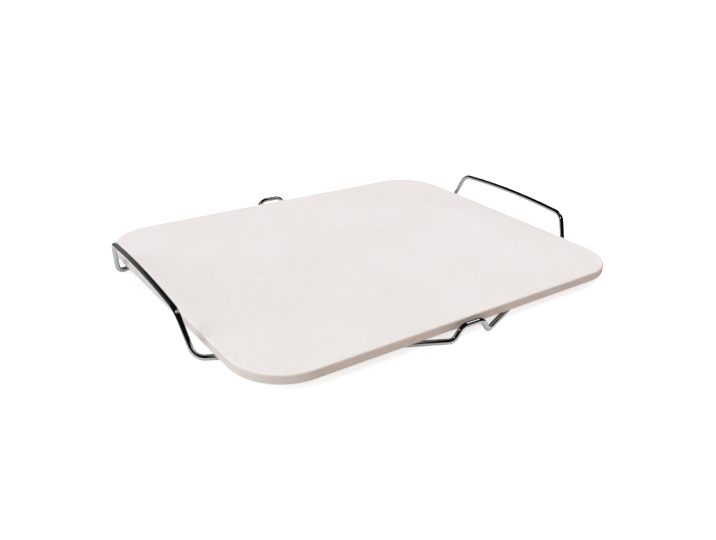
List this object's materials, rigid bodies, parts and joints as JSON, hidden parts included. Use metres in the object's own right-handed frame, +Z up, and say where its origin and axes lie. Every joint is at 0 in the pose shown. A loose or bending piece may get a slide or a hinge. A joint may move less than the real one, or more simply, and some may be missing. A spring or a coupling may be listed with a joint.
{
  "type": "pizza stone",
  "caption": "Rectangular baking stone with round corners, lying loose on the two cross wires of a chromed wire rack, whose bent loop forms a handle at each end and a stop at each long side.",
  "frame": {"origin": "on the table, under the middle of the rack's box", "axes": "+X from handle to handle towards the right handle, +Y across the rack from stop to stop, +Z up from the table"},
  "size_m": [0.4076, 0.3312, 0.0414],
  "materials": {
    "unglazed_ceramic": "unglazed, fine-grained and matt, off-white on top with beige sides",
    "plated_wire": "bright chrome plate on drawn steel wire"
  },
  "bodies": {
    "rack": {"wire_rack": "plated_wire"},
    "stone": {"baking_stone": "unglazed_ceramic"}
  },
  "joints": [
    {"name": "stone_lift", "type": "slide", "parent": "rack", "child": "stone", "axis": [0, 0, 1], "range_m": [0, 0.05]}
  ]
}
